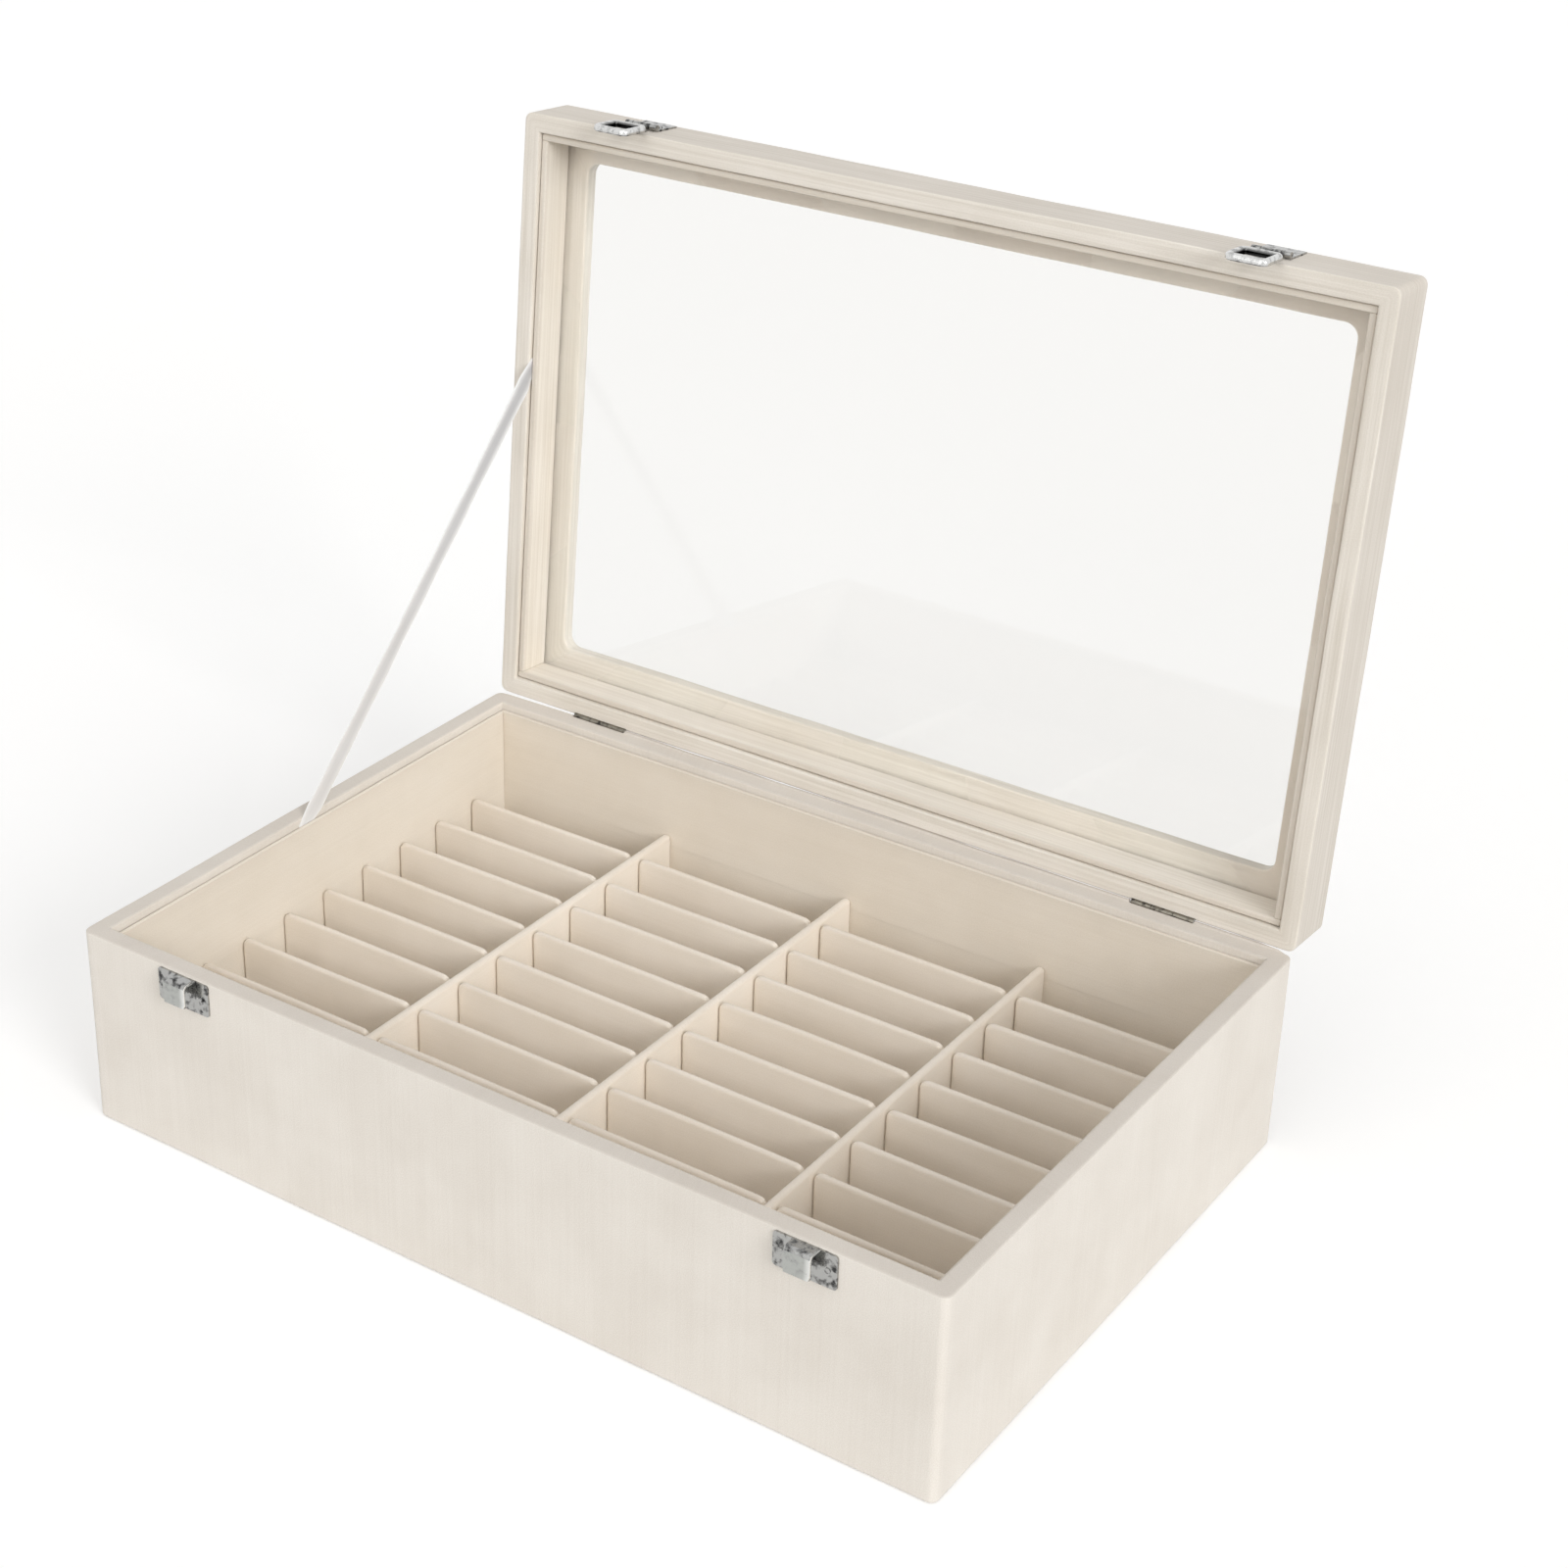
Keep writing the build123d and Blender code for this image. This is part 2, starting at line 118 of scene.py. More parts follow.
def running_length(points):
    """Distance run along a line of points, from its first point."""
    return np.concatenate([[0], np.cumsum(np.linalg.norm(np.diff(points, axis=0), axis=1))])


def quad_grid(points, uv, closed_rows=False):
    """Vertices, four-cornered faces and their UVs of a grid of points whose last column joins its first;
    closed rows do so too. The UVs are one column, and then also one row, longer."""
    rows, columns = points.shape[:2]
    i, j = np.meshgrid(np.arange(rows - (not closed_rows)), np.arange(columns), indexing="ij")
    i, j = i.ravel(), j.ravel()
    i2, j2 = (i + 1) % rows, (j + 1) % columns
    faces = np.stack([i * columns + j, i * columns + j2, i2 * columns + j2, i2 * columns + j], -1)
    corners = np.stack([uv[i, j], uv[i, j + 1], uv[i + 1, j + 1], uv[i + 1, j]], 1)
    return points.reshape(-1, 3), faces, corners


MERGE = 0.02 * MM
SHARP = radians(40)


def piece(name, grids, material, body, replaced=(), *, tone):
    """One object from one or more grids: doubled points are merged, faces turned outwards, and edges
    sharper than SHARP kept crisp. The tone of each point, from -1 to 1, is kept as an attribute for the
    cloths and metals, which mix another colour in by it: painted shadow where that colour is dark, painted
    light and highlights where it is light."""
    vertices, faces, corners, count = [], [], [], 0
    for grid_vertices, grid_faces, grid_corners in grids:
        vertices.append(grid_vertices)
        faces.append(grid_faces + count)
        corners.append(grid_corners)
        count += len(grid_vertices)
    mesh = bpy.data.meshes.new(name)
    mesh.from_pydata(np.concatenate(vertices).tolist(), [], np.concatenate(faces).tolist())
    layer = mesh.uv_layers.new(name="cut")
    layer.data.foreach_set("uv", np.concatenate(corners).astype(np.float32).ravel())
    kept = mesh.attributes.new("tone", "FLOAT", "POINT")
    kept.data.foreach_set("value", np.asarray(tone, np.float32).ravel())
    work = bmesh.new()
    work.from_mesh(mesh)
    bmesh.ops.remove_doubles(work, verts=work.verts, dist=MERGE)
    bmesh.ops.dissolve_degenerate(work, dist=MERGE / 4, edges=work.edges)
    bmesh.ops.recalc_face_normals(work, faces=work.faces)
    work.to_mesh(mesh)
    work.free()
    mesh.shade_smooth()
    mesh.set_sharp_from_angle(angle=SHARP)
    made = bpy.data.objects.new(name, mesh)
    bpy.context.scene.collection.objects.link(made)
    made.data.materials.append(material)
    if body:
        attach(made, body)
    if replaced:
        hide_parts(*replaced)
    return made


def tablet(width, height, thickness, top_radius, edge, crown, uv_start, foot_radius=0.3 * MM):
    """A soft flat panel, as a grid in its own axes u, v, w: rings at growing inset from a rounded outline,
    first round the front, then the edge's half round, then round the back. Inset and w follow a quarter
    ellipse at each edge, and the crown lifts both faces by one minus the squared inset share."""
    deepest = min(width, height) / 2 * 0.999
    face = deepest - np.array([0, 0.35, 0.65, 0.85]) * (deepest - edge * 1.5)
    bend = np.linspace(0, np.pi / 2, 6)
    round_inset = edge * (1 - np.sin(bend))
    round_w = thickness / 2 - min(edge, thickness / 2) * (1 - np.cos(bend))
    inset = np.concatenate([face, [edge * 1.5], round_inset])
    w = np.concatenate([np.full(5, thickness / 2), round_w])
    w = w + crown * (1 - (1 - np.clip(inset / deepest, 0, 1)) ** 2)
    inset, w = np.concatenate([inset, inset[::-1]]), np.concatenate([w, -w[::-1]])
    rings = outline_points(width, height, top_radius, foot_radius, inset)
    points = np.concatenate([rings, np.broadcast_to(w[:, None, None], rings.shape[:2] + (1,))], -1)
    uv = np.concatenate([points, points[:, :1]], 1)
    uv = np.stack([uv[..., 0] + uv_start[0], uv[..., 1] + uv[..., 2] + uv_start[1]], -1)
    return points, uv


def outline_points(width, height, top_radius, foot_radius, inset, arc_steps=6, side_steps=6):
    """Rounded outlines of a panel, one for each inset, as (u, v) points with v from 0 at its foot: quarter
    circles whose radius is the corner's less the inset, joined by straight sides."""
    inset = np.asarray(inset, float)[:, None]
    arc = np.linspace(0, np.pi / 2, arc_steps)[None, :]
    share = np.linspace(0, 1, side_steps + 2)[1:-1][None, :, None]
    corners = [(1, height, top_radius, 0.0), (-1, height, top_radius, 0.5), (-1, 0, foot_radius, 1.0),
               (1, 0, foot_radius, 1.5)]
    arcs = []
    for side, level, radius, start in corners:
        small = np.maximum(radius - inset, 0.02 * MM)
        towards = -1 if level else 1
        arcs.append(np.stack([side * (width / 2 - inset - small) + small * np.cos(arc + start * np.pi),
                              level + towards * (inset + small) + small * np.sin(arc + start * np.pi)], -1))
    rings = []
    for k, here in enumerate(arcs):
        after = arcs[(k + 1) % 4]
        rings += [here, here[:, -1:] + (after[:, :1] - here[:, -1:]) * share]
    return np.concatenate(rings, 1)


def placed(points, origin, u_axis, v_axis, w_axis):
    """Panel points carried to their place by its origin and its three axes."""
    axes = np.array([u_axis, v_axis, w_axis], float)
    return np.asarray(origin, float) + points @ axes


# ---------------------------------------------------------------- materials

def shader_group(name, inputs, outputs):
    """An empty shader node group with named inputs and outputs."""
    tree = bpy.data.node_groups.new(name, "ShaderNodeTree")
    for label, kind, value in inputs:
        socket = tree.interface.new_socket(label, in_out="INPUT", socket_type=kind)
        if value is not None:
            socket.default_value = value
    for label, kind in outputs:
        tree.interface.new_socket(label, in_out="OUTPUT", socket_type=kind)
    return tree, tree.nodes.new("NodeGroupInput"), tree.nodes.new("NodeGroupOutput")


def node(tree, kind, inputs=None, **settings):
    """A node with its settings made and its inputs linked or filled."""
    made = tree.nodes.new("ShaderNode" + kind)
    for key, value in settings.items():
        setattr(made, key, value)
    for key, value in (inputs or {}).items():
        socket = made.inputs[key]
        if isinstance(value, bpy.types.NodeSocket):
            tree.links.new(value, socket)
        else:
            socket.default_value = value
    return made


def math(tree, operation, a, b, clamp=False):
    """The result of one arithmetic node."""
    return node(tree, "Math", {0: a, 1: b}, operation=operation, use_clamp=clamp).outputs[0]


def colour_mix(tree, factor, a, b):
    """Two colours mixed by a factor that is held between 0 and 1."""
    return node(tree, "Mix", {"Factor": factor, 6: a, 7: b}, data_type="RGBA").outputs[2]


def stretched_noise(tree, vector, scale, detail=2.0, rough=0.55):
    """Noise drawn on a vector that is scaled differently along each axis."""
    mapped = node(tree, "Mapping", {"Vector": vector, "Scale": scale})
    return node(tree, "TexNoise", {"Vector": mapped.outputs[0], "Scale": 1.0, "Detail": detail,
                                   "Roughness": rough}).outputs["Fac"]


FLOAT, COLOR, VECTOR = "NodeSocketFloat", "NodeSocketColor", "NodeSocketVector"


def brushed_pile_group():
    """Short brushed pile: long fine and broad streaks along the vector's x, soft blotches and points of nap
    mix a dark and a light tone; the same fields give roughness and height. A tone above 0 mixes in a
    dark colour, painted shadow, and one below 0 a warm light colour, painted light."""
    tree, given, result = shader_group(
        "brushed_pile",
        [("Vector", VECTOR, None), ("Dark", COLOR, (0.7, 0.64, 0.55, 1)),
         ("Light", COLOR, (0.8, 0.76, 0.7, 1)), ("Streak", FLOAT, 1.0), ("Blotch", FLOAT, 1.0),
         ("Nap", FLOAT, 1.0), ("Tone", FLOAT, 0.0), ("Shade", COLOR, (0.3, 0.27, 0.25, 1)),
         ("Lift", COLOR, (1.0, 0.9, 0.78, 1))],
        [("Color", COLOR), ("Roughness", FLOAT), ("Height", FLOAT)])
    vector = given.outputs["Vector"]
    fine = stretched_noise(tree, vector, (12, 850, 1), 3.0)
    broad = stretched_noise(tree, vector, (5, 130, 1), 2.0)
    blotch = stretched_noise(tree, vector, (26, 26, 26), 3.0)
    nap = stretched_noise(tree, vector, (2300, 2300, 2300), 1.0)
    streak = math(tree, "ADD", math(tree, "MULTIPLY", fine, 0.75), math(tree, "MULTIPLY", broad, 0.25))
    streak = math(tree, "MULTIPLY", math(tree, "SUBTRACT", streak, 0.5), given.outputs["Streak"])
    soft = math(tree, "MULTIPLY", math(tree, "SUBTRACT", blotch, 0.5), given.outputs["Blotch"])
    point = math(tree, "MULTIPLY", math(tree, "SUBTRACT", nap, 0.5), given.outputs["Nap"])
    field = math(tree, "ADD", math(tree, "MULTIPLY", streak, 3.2), math(tree, "MULTIPLY", soft, 1.6))
    field = math(tree, "ADD", math(tree, "ADD", field, math(tree, "MULTIPLY", point, 1.1)), 0.5, clamp=True)
    mixed = colour_mix(tree, field, given.outputs["Dark"], given.outputs["Light"])
    # painted light below 0 and painted shadow above 0, mixed in by the tone attribute
    painted_light_amount = math(tree, "MULTIPLY", given.outputs["Tone"], -1.0)
    mixed = colour_mix(tree, painted_light_amount, mixed, given.outputs["Lift"])
    mixed = colour_mix(tree, given.outputs["Tone"], mixed, given.outputs["Shade"])
    tree.links.new(mixed, result.inputs["Color"])
    rough = math(tree, "ADD", math(tree, "MULTIPLY", point, 0.12), 0.86)
    tree.links.new(rough, result.inputs["Roughness"])
    height = math(tree, "ADD", math(tree, "MULTIPLY", streak, 1.2), math(tree, "MULTIPLY", point, 0.7))
    tree.links.new(height, result.inputs["Height"])
    return tree


def handled_metal_group():
    """Plated sheet metal that was handled: small pits, cloudy tarnish and fine drawn lines over a tone. A
    tone
    above 0 mixes in a painted colour: painted shadow when it is dark, a painted highlight when it is light.
    """
    tree, given, result = shader_group(
        "handled_metal",
        [("Vector", VECTOR, None), ("Bright", COLOR, (0.75, 0.75, 0.74, 1)),
         ("Dull", COLOR, (0.3, 0.3, 0.3, 1)), ("Tarnish", FLOAT, 0.5), ("Tone", FLOAT, 0.0),
         ("Shade", COLOR, (0.02, 0.02, 0.02, 1))],
        [("Color", COLOR), ("Roughness", FLOAT), ("Height", FLOAT)])
    vector = given.outputs["Vector"]
    cloud = stretched_noise(tree, vector, (420, 420, 420), 3.0)
    pits = stretched_noise(tree, vector, (1500, 1500, 1500), 2.0)
    lines = stretched_noise(tree, vector, (60, 2600, 2600), 1.0)
    dark = math(tree, "MULTIPLY", math(tree, "SUBTRACT", cloud, 0.48, clamp=True), 6.0)
    dark = math(tree, "MULTIPLY", dark, given.outputs["Tarnish"], clamp=True)
    mixed = colour_mix(tree, dark, given.outputs["Bright"], given.outputs["Dull"])
    # painted shading mixed in by the tone attribute: dark painted shadow on the ring, a light painted
    # highlight on the tongue
    mixed = colour_mix(tree, given.outputs["Tone"], mixed, given.outputs["Shade"])
    tree.links.new(mixed, result.inputs["Color"])
    rough = math(tree, "ADD", math(tree, "MULTIPLY", dark, 0.22), math(tree, "MULTIPLY", pits, 0.3))
    tree.links.new(rough, result.inputs["Roughness"])
    height = math(tree, "ADD", math(tree, "MULTIPLY", pits, 0.7), math(tree, "MULTIPLY", lines, 0.3))
    tree.links.new(height, result.inputs["Height"])
    return tree


BRUSHED_PILE = brushed_pile_group()
HANDLED_METAL = handled_metal_group()


def surface(name, **sockets):
    """A material with its Principled shader's own sockets set."""
    material = bpy.data.materials.new(name)
    material.use_nodes = True
    shader = material.node_tree.nodes["Principled BSDF"]
    for key, value in sockets.items():
        shader.inputs[key.replace("_", " ")].default_value = value
    return material, material.node_tree, shader


def raised(tree, shader, height, strength, distance):
    """A height field made a relief on the shader."""
    relief = node(tree, "Bump", {"Strength": strength, "Distance": distance, "Height": height})
    tree.links.new(relief.outputs["Normal"], shader.inputs["Normal"])


def dressed(tree, shader, group, vector, bump, distance, **values):
    """A node group placed in a material with its own values, feeding colour, roughness and a bump."""
    placed_group = node(tree, "Group")
    placed_group.node_tree = group
    tree.links.new(vector, placed_group.inputs["Vector"])
    tone = node(tree, "Attribute", attribute_name="tone").outputs["Fac"]
    tree.links.new(tone, placed_group.inputs["Tone"])
    for key, value in values.items():
        placed_group.inputs[key].default_value = value
    tree.links.new(placed_group.outputs["Color"], shader.inputs["Base Color"])
    tree.links.new(placed_group.outputs["Roughness"], shader.inputs["Roughness"])
    raised(tree, shader, placed_group.outputs["Height"], bump, distance)


def pile_cloth(name, dark, light, streak=1.0, blotch=1.0, nap=1.0, sheen=0.25, bump=0.35,
               painted_shading=(0.30, 0.24, 0.20)):
    """Brushed cloth on a piece's own cut, in metres; its dark colour, mixed in by the tone attribute,
    is painted shadow.
    """
    material, tree, shader = surface(name, Sheen_Weight=sheen, Sheen_Roughness=0.45,
                                     Specular_IOR_Level=0.15)
    cut = node(tree, "UVMap", uv_map="cut")
    dressed(tree, shader, BRUSHED_PILE, cut.outputs[0], bump, 0.00025, Dark=(*dark, 1), Light=(*light, 1),
            Streak=streak, Blotch=blotch, Nap=nap, Shade=(*painted_shading, 1))
    return material


def plated(name, bright, dull, tarnish, painted_shading=(0.02, 0.02, 0.02)):
    """Plated metal on Object coordinates; the colour mixed in by the tone attribute is painted shadow
    when dark and a painted highlight when light.
    """
    material, tree, shader = surface(name, Metallic=1.0)
    place = node(tree, "TexCoord")
    dressed(tree, shader, HANDLED_METAL, place.outputs["Object"], 0.25, 0.00006, Bright=(*bright, 1),
            Dull=(*dull, 1), Tarnish=tarnish, Shade=(*painted_shading, 1))
    return material


outer_cloth = pile_cloth("outer_cloth", (0.74, 0.685, 0.615), (0.86, 0.815, 0.75),
                         streak=0.22, blotch=0.8, nap=1.3)
# the lid's cloth is lighter than the base's: painted light for the lid's shaded inner faces, taken back with
# painted shadow on its outer faces
lid_cloth = pile_cloth("lid_cloth", (0.735, 0.68, 0.595), (0.90, 0.85, 0.775),
                       streak=0.95, blotch=0.5, nap=1.0)
strip_cloth = pile_cloth("strip_cloth", (0.76, 0.69, 0.59), (0.90, 0.84, 0.75),
                         streak=0.8, blotch=0.5, nap=1.0)
lining_cloth = pile_cloth("lining_cloth", (0.79, 0.715, 0.61), (0.89, 0.825, 0.73),
                          streak=0.2, blotch=0.8, nap=1.2)
divider_cloth = pile_cloth("divider_cloth", (0.85, 0.77, 0.665), (0.94, 0.87, 0.78), streak=0.2, blotch=0.9,
                           nap=1.2)
latch_metal = plated("latch_metal", (0.42, 0.42, 0.41), (0.05, 0.05, 0.05), 0.9)
ring_metal = plated("ring_metal", (0.70, 0.70, 0.69), (0.12, 0.12, 0.12), 0.5)
# the tongue's near-white mixed-in colour is a painted highlight along its right edge
tongue_metal = plated("tongue_metal", (0.44, 0.45, 0.43), (0.30, 0.30, 0.30), 0.5, painted_shading=(0.92, 0.92, 0.90))
hinge_metal = plated("hinge_metal", (0.26, 0.24, 0.20), (0.05, 0.045, 0.04), 0.9)


def ribbon_satin():
    """White satin: fine cross ribs and threads on the strip's own cut, a silky sheen, and a grey mixed in
    by the tone attribute as painted shadow.
    """
    material, tree, shader = surface("ribbon_satin", Sheen_Weight=0.5, Sheen_Roughness=0.3, Roughness=0.42,
                                     Specular_IOR_Level=0.5, Anisotropic=0.4)
    cut = node(tree, "UVMap", uv_map="cut").outputs[0]
    ribs = node(tree, "TexWave", {"Vector": cut, "Scale": 520.0, "Distortion": 0.6}, bands_direction="X")
    threads = stretched_noise(tree, cut, (90, 4200, 1), 2.0)
    woven = colour_mix(tree, threads, (0.88, 0.88, 0.88, 1), (0.97, 0.97, 0.97, 1))
    tone = node(tree, "Attribute", attribute_name="tone").outputs["Fac"]
    # painted shadow: grey down the ribbon's middle
    tree.links.new(colour_mix(tree, tone, woven, (0.50, 0.50, 0.51, 1)), shader.inputs["Base Color"])
    height = math(tree, "ADD", math(tree, "MULTIPLY", ribs.outputs["Fac"], 0.3), threads)
    raised(tree, shader, height, 0.2, 0.0001)
    return material


def clear_glass():
    """Clear pane, a little grey; shadow rays pass it, so that the lid lets the light in."""
    material, tree, shader = surface("clear_glass", Base_Color=(0.925, 0.922, 0.91, 1), Roughness=0.0,
                                     IOR=1.45, Transmission_Weight=1.0)
    shadow = node(tree, "LightPath").outputs["Is Shadow Ray"]
    clear = node(tree, "BsdfTransparent", {"Color": (0.96, 0.97, 0.965, 1)})
    mix = node(tree, "MixShader", {0: shadow, 1: shader.outputs[0], 2: clear.outputs[0]})
    tree.links.new(mix.outputs[0], tree.nodes["Material Output"].inputs["Surface"])
    return material


def flecked(name, dark, light, scale, detail_share, roughness, strength, distance):
    """A matt sheet of fibres: noise on Object coordinates, stretched by its scale, mixes a dark and a light
    tone and raises a relief."""
    material, tree, shader = surface(name, Roughness=roughness)
    place = node(tree, "TexCoord").outputs["Object"]
    flecks = stretched_noise(tree, place, scale, 4.0, detail_share)
    tree.links.new(colour_mix(tree, flecks, (*dark, 1), (*light, 1)), shader.inputs["Base Color"])
    raised(tree, shader, flecks, strength, distance)
    return material


ribbon_white = ribbon_satin()
pane_glass = clear_glass()
board_brown = flecked("fibre_board", (0.36, 0.25, 0.15), (0.72, 0.58, 0.41), (900, 900, 900),
                      detail_share=0.7, roughness=0.85, strength=0.3, distance=0.0002)
sheet_paper = flecked("underside_paper", (0.70, 0.66, 0.58), (0.84, 0.81, 0.74), (300, 1400, 600),
                      detail_share=0.6, roughness=0.9, strength=0.2, distance=0.0001)

for name, cad in nodes.items():
    if name == "glass_pane":
        finish_of = pane_glass
    elif name == "base_underside_sheet":
        finish_of = sheet_paper
    elif name.startswith("hinge_"):
        finish_of = hinge_metal
    elif name.startswith(("hasp_", "catch_")):
        finish_of = latch_metal
    elif "_board" in name:
        finish_of = board_brown
    else:
        finish_of = outer_cloth
    cad.data.materials.clear()
    cad.data.materials.append(finish_of)


# ---------------------------------------------------------------- cloth covers

# the hinge barrels: their half length, how far they keep the cloth off the hinge line, and the columns of
# points that the covers get inside and outside each of their ends
BARREL_END = 12.5 * MM
BARREL_ROOM = 1.2 * MM
BARREL_COLUMNS = np.array([-12.9, -12.45, 12.45, 12.9]) * MM
SWELL = 0.12 * MM
# painted shadow on the base's rim and the lid's outer faces
OUTER_PAINTED_SHADE = 0.23
# painted light on the window frame's underside
WINDOW_PAINTED_LIGHT = 0.8


def pressed(points):
    """Cloth pressed away by the hinge barrels: a point nearer the hinge line than their room, beside either
    barrel, moves straight out from the line to that distance."""
    reach = points[..., 1:] - (HINGE_Y, HINGE_Z)
    distance = np.linalg.norm(reach, axis=-1)
    beside = np.abs(np.abs(points[..., 0]) - HINGE_X) < BARREL_END + 0.1 * MM
    grown = np.where(beside & (distance < BARREL_ROOM), BARREL_ROOM / np.maximum(distance, 1e-6), 1.0)
    moved = points.copy()
    moved[..., 1:] = (HINGE_Y, HINGE_Z) + reach * grown[..., None]
    return moved


def crowded(points, level, side, most):
    """Pile crowded along the outer back edge, where lid and base close on each other. The edge's quarter
    circle of radius RIM grows by one plus most times the cube of the sine of twice its angle, fully from
    the left hinge rightwards, less to its left, and not beside the hinge barrels. The second result is the
    share of the growth at each point, from 0 to 1."""
    y, z = points[..., 1] - (BOX_Y - RIM), (points[..., 2] - level) * side + RIM
    on_arc = (y > -0.3 * MM) & (z > -0.3 * MM) & (np.hypot(y, z) < 1.4 * RIM)
    angle = np.arctan2(np.maximum(z, 0), np.maximum(y, 1e-9))
    x = points[..., 0]
    along = 0.35 + 0.65 * np.clip((x + HINGE_X) / (5 * MM), 0, 1)
    along = along * np.clip((BOX_X - 3 * MM - np.abs(x)) / (4 * MM), 0, 1)
    along = along * np.clip((np.abs(np.abs(x) - HINGE_X) - BARREL_END) / (0.3 * MM), 0, 1)
    share = np.where(on_arc, np.sin(2 * angle) ** 3 * along, 0)
    moved = points.copy()
    moved[..., 1] += y * share * most
    moved[..., 2] += z * side * share * most
    return moved, share


def cover_painted_shading(rings, crease, rim_painted_shade, level_painted_shading):
    """Tone of a cover, all painted shading: the crowded crease takes nearly the whole dark colour, painted
    shadow, by the square of its growth, the rim a little of it, and a level with a tone of its own takes
    that. A level below 0 takes warm painted light, fully on the front and right sides and by less than a
    third on the others."""
    # painted light is full on the front and right sides and 0.3 of it on the others
    painted_light_side = np.maximum(rings[..., 0] / BOX_X, -rings[..., 1] / BOX_Y)
    painted_light_side = 0.3 + 0.7 * np.clip((painted_light_side - 0.75) / 0.1, 0, 1)
    level_painted_shading = level_painted_shading * np.where(level_painted_shading < 0, painted_light_side, 1)
    # painted shadow in the crease and on the rim; elsewhere a level's own painted shading
    return np.where(level_painted_shading == 0, np.maximum(crease ** 2 * 0.95, rim_painted_shade), level_painted_shading)


def cover(name, levels, material, body, replaced, lengthwise, level_painted_shading, rim_painted_shade, crowd,
          open_lid=False):
    """A wrapped skin: a closed cross-section of levels (half width, half depth, corner radius, height)
    carried round a rounded rectangle. The cut is distance run round the widest ring and along the
    cross-section. A sum of three sine waves round the ring, whose heights add up to 2.2, swells the skin a
    little, as glued cloth does. The streaks of the pile run round the ring where lengthwise, else across
    it. The crowd is how much the back edge grows between the hinges, and the tones, all painted shading,
    come from the cover tone function above."""
    levels = np.asarray(levels, float)
    beside_hinges = [(1 + side * (HINGE_X + step) / (BOX_X - CORNER)) / 2
                     for side in (-1, 1) for step in BARREL_COLUMNS]
    rings = ring_points(*levels[:, :3].T, side_steps=64, extra=beside_hinges)
    widest = rings[np.argmax(levels[:, 0])]
    around = running_length(np.concatenate([widest, widest[:1]]))
    section = running_length(np.concatenate([levels[:, [0, 3]], levels[:1, [0, 3]]]))
    wave = around[:-1, None].T
    height = section[:-1, None]
    bulge = (np.sin(wave * 37 + height * 45) + 0.7 * np.sin(wave * 83 + 1.3 - height * 60)
             + 0.5 * np.sin(wave * 151))
    out = np.sign(rings) * np.minimum(1, np.abs(rings) / 0.05)
    rings = rings + out * (bulge * SWELL / 2.2)[..., None]
    z = levels[:, 3][:, None] + np.sin(wave * 52 + 0.4) * SWELL * 0.5
    points = np.concatenate([rings, np.broadcast_to(z, rings.shape[:2])[..., None]], -1)
    rim_level, side = (LID_Z0, -1) if open_lid else (BOX_H, 1)
    points, crease = crowded(points, rim_level, side, crowd)
    rim = (np.abs(levels[:, 3] - rim_level) < 0.3 * MM)[:, None]
    tone = cover_painted_shading(rings, crease, rim * rim_painted_shade, level_painted_shading[:, None])
    points = pressed(points)
    if open_lid:
        points = opened(points)
    s, t = np.meshgrid(around, section)
    uv = np.stack([s, t] if lengthwise else [t, s], -1)
    return piece(name, [quad_grid(points, uv, closed_rows=True)], material, body, replaced, tone=tone)


def wall_profile(corners):
    """A cross-section through corner points (inward distance, height, rounding radius): each rounding is
    sampled on its quarter circle and each straight run gets points near its ends and one or more
    between."""
    corners = np.asarray(corners, float)
    line = []
    count = len(corners)
    for k in range(count):
        before, here, after = corners[k - 1], corners[k], corners[(k + 1) % count]
        into = (here[:2] - before[:2]) / np.linalg.norm(here[:2] - before[:2])
        away = (after[:2] - here[:2]) / np.linalg.norm(after[:2] - here[:2])
        radius = here[2]
        if radius > 0:
            turn = np.linspace(0, np.pi / 2, 6)[:, None]
            centre = here[:2] - into * radius + away * radius
            line.append(centre - away * radius * np.cos(turn) + into * radius * np.sin(turn))
        else:
            line.append(here[None, :2])
        start = here[:2] + away * radius
        end = after[:2] - away * after[2]
        run = np.linalg.norm(end - start)
        if run > 4 * MM:
            share = np.concatenate([[0.6 * MM / run], np.linspace(0, 1, 2 + int(run / (9 * MM)))[1:-1],
                                    [1 - 0.6 * MM / run]])[:, None]
            line.append(start + (end - start) * share)
    return np.concatenate(line)


def inset_levels(section, outer_x, outer_y, corner):
    """Levels of a cover from its cross-section of (inward distance, height): the rectangle shrinks by the
    distance on every side and its corner radius by as much."""
    inward, height = section.T
    radius = np.maximum(corner - inward, 0.25 * MM)
    return np.stack([outer_x - inward, outer_y - inward, radius, height], -1)


# where the covers end: under the bottom, and inside the walls of base and lid
UNDER_END, BASE_END, LID_END = 16 * MM, BOX_H - 14.8 * MM, LID_Z0 + 9.8 * MM
base_section = wall_profile([
    (UNDER_END, 0, 0), (0, 0, 1.2 * MM), (0, BOX_H, RIM), (WALL, BOX_H, RIM), (WALL, BASE_END, 0),
    (WALL - CLOTH, BASE_END, 0), (WALL - CLOTH, BOX_H - CLOTH, 0), (CLOTH, BOX_H - CLOTH, 0),
    (CLOTH, CLOTH, 0), (UNDER_END, CLOTH, 0)])
# painted shadow on the base's rim
cover("base_wrap", inset_levels(base_section, BOX_X, BOX_Y, CORNER), outer_cloth, "base",
      ["base_cloth_cover"], lengthwise=False, level_painted_shading=np.zeros(len(base_section)), rim_painted_shade=OUTER_PAINTED_SHADE,
      crowd=1.8)

